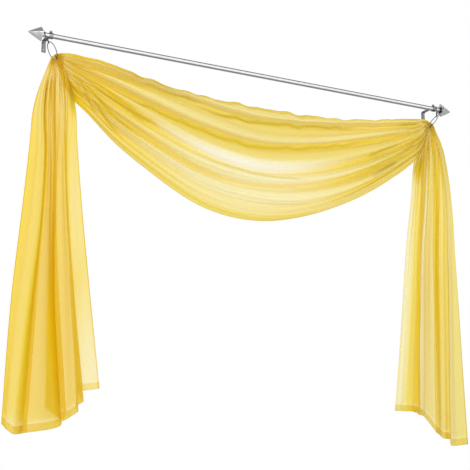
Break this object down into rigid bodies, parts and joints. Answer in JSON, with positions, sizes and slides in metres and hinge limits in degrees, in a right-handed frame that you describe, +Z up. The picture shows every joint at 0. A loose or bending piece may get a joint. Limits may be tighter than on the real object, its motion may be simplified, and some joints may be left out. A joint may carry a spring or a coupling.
{
  "type": "sheer scarf valance on a curtain rod",
  "caption": "Long sheer scarf draped in a wide swag through linked rings on a slim wall rod with arrowhead finials, with a pleated tail at each end, to dress the top of a window.",
  "frame": {"origin": "on the wall plane, level with the rod's axis and midway between the brackets", "axes": "+X along the rod to the right seen from the front, +Y into the wall, +Z up; the front faces -Y"},
  "size_m": [2.0282, 0.1355, 1.5505],
  "materials": {
    "sheer_cloth": "sheer golden yellow voile",
    "polished_steel": "polished silver",
    "plated_steel": "satin silver plate"
  },
  "bodies": {
    "root": {"scarf": "sheer_cloth", "rod": "polished_steel", "finial_left": "polished_steel", "finial_right": "polished_steel", "ring_upper_left": "polished_steel", "ring_lower_left": "polished_steel", "ring_upper_right": "polished_steel", "ring_lower_right": "polished_steel", "bracket_left": "plated_steel", "bracket_right": "plated_steel", "clamp_screw_left": "plated_steel", "clamp_screw_right": "plated_steel"}
  },
  "joints": []
}
